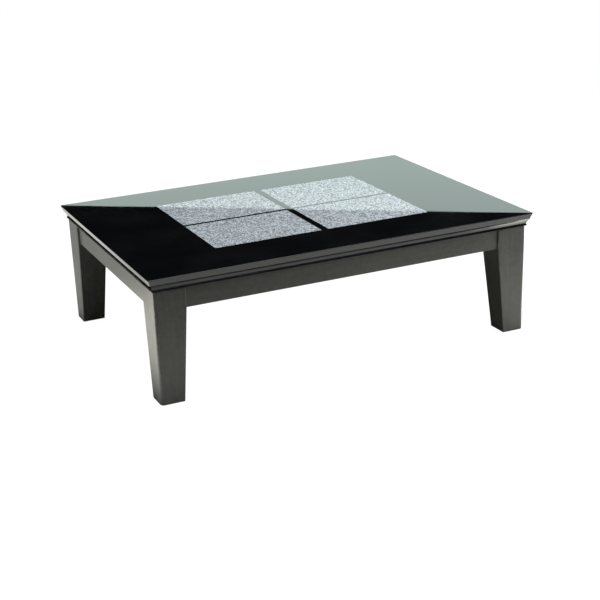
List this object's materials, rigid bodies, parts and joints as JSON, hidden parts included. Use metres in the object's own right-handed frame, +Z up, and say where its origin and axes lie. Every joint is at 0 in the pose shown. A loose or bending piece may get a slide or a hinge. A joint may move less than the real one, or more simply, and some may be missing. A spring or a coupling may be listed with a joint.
{
  "type": "kotatsu table",
  "caption": "Low heated table: mirror-finished top with moulded edge and inlaid panels, lifting off a frame with tapered legs, corner brackets and a guarded fan heater under its middle.",
  "frame": {"origin": "on the floor under the middle of the table", "axes": "+X along the long side, +Y from the front (the near long side in the picture) to the back, +Z up"},
  "size_m": [1.2, 0.85, 0.37],
  "materials": {
    "mirror_lacquer": "black lacquer polished to a mirror",
    "silver_grain": "speckled silver sheet under the clear coat",
    "black_satin_wood": "satin black-brown lacquer over fine wood grain",
    "backing_paper": "plain resin-soaked backing sheet",
    "bare_wood": "planed and unlacquered",
    "zinc_steel": "bright zinc plate",
    "pad_rubber": "soft, matt",
    "felt": "pressed felt",
    "insert_brass": "turned",
    "galvanised_sheet": "galvanised sheet",
    "bright_sheet": "bright rolled sheet",
    "quartz": "clear fused quartz",
    "element_alloy": "oxidised resistance wire",
    "white_ceramic": "unglazed, off-white",
    "motor_steel": "plain steel can",
    "fan_aluminium": "pressed sheet",
    "guard_plastic": "heat-proof moulding, fine texture",
    "net_enamel": "black enamelled steel",
    "socket_plastic": "moulded",
    "terminal_plastic": "moulded, off-white",
    "lead_sleeve": "silicone and glass-fibre sleeve"
  },
  "bodies": {
    "tabletop": {"top_board": "mirror_lacquer", "inlay_front_left": "silver_grain", "inlay_front_right": "silver_grain", "inlay_back_left": "silver_grain", "inlay_back_right": "silver_grain", "edge_strip_front": "mirror_lacquer", "edge_strip_back": "mirror_lacquer", "edge_strip_left": "mirror_lacquer", "edge_strip_right": "mirror_lacquer", "underside_sheet": "backing_paper"},
    "frame": {"leg_front_left": "black_satin_wood", "leg_front_right": "black_satin_wood", "leg_back_left": "black_satin_wood", "leg_back_right": "black_satin_wood", "rail_front": "black_satin_wood", "rail_back": "black_satin_wood", "rail_left": "black_satin_wood", "rail_right": "black_satin_wood", "corner_bracket_front_left": "zinc_steel", "corner_bracket_front_right": "zinc_steel", "corner_bracket_back_left": "zinc_steel", "corner_bracket_back_right": "zinc_steel", "hanger_bolts": "zinc_steel", "leg_washers": "zinc_steel", "leg_nuts": "zinc_steel", "bracket_screws": "zinc_steel", "heater_rail_left": "bare_wood", "heater_rail_right": "bare_wood", "top_pads": "pad_rubber", "foot_pads": "felt", "foot_inserts": "insert_brass", "heater_case": "galvanised_sheet", "heater_screws": "zinc_steel", "heater_reflector": "bright_sheet", "heater_tube": "quartz", "heating_element": "element_alloy", "tube_holders": "white_ceramic", "tube_studs": "zinc_steel", "fan_motor": "motor_steel", "guard_frame": "guard_plastic", "guard_net": "net_enamel", "guard_screws": "zinc_steel", "power_inlet": "socket_plastic", "inlet_pins": "insert_brass", "terminal_block": "terminal_plastic", "thermostat": "white_ceramic", "thermal_fuse": "white_ceramic", "lead_wires": "lead_sleeve"},
    "fan": {"fan_shaft": "zinc_steel", "fan_impeller": "fan_aluminium"}
  },
  "joints": [
    {"name": "tabletop_lift", "type": "slide", "parent": "frame", "child": "tabletop", "axis": [0, 0, 1], "range_m": [0, 0.3]},
    {"name": "fan_spin", "type": "hinge", "parent": "frame", "child": "fan", "pos_m": [0, 0, 0.29], "axis": [0, 0, 1], "continuous": true}
  ]
}
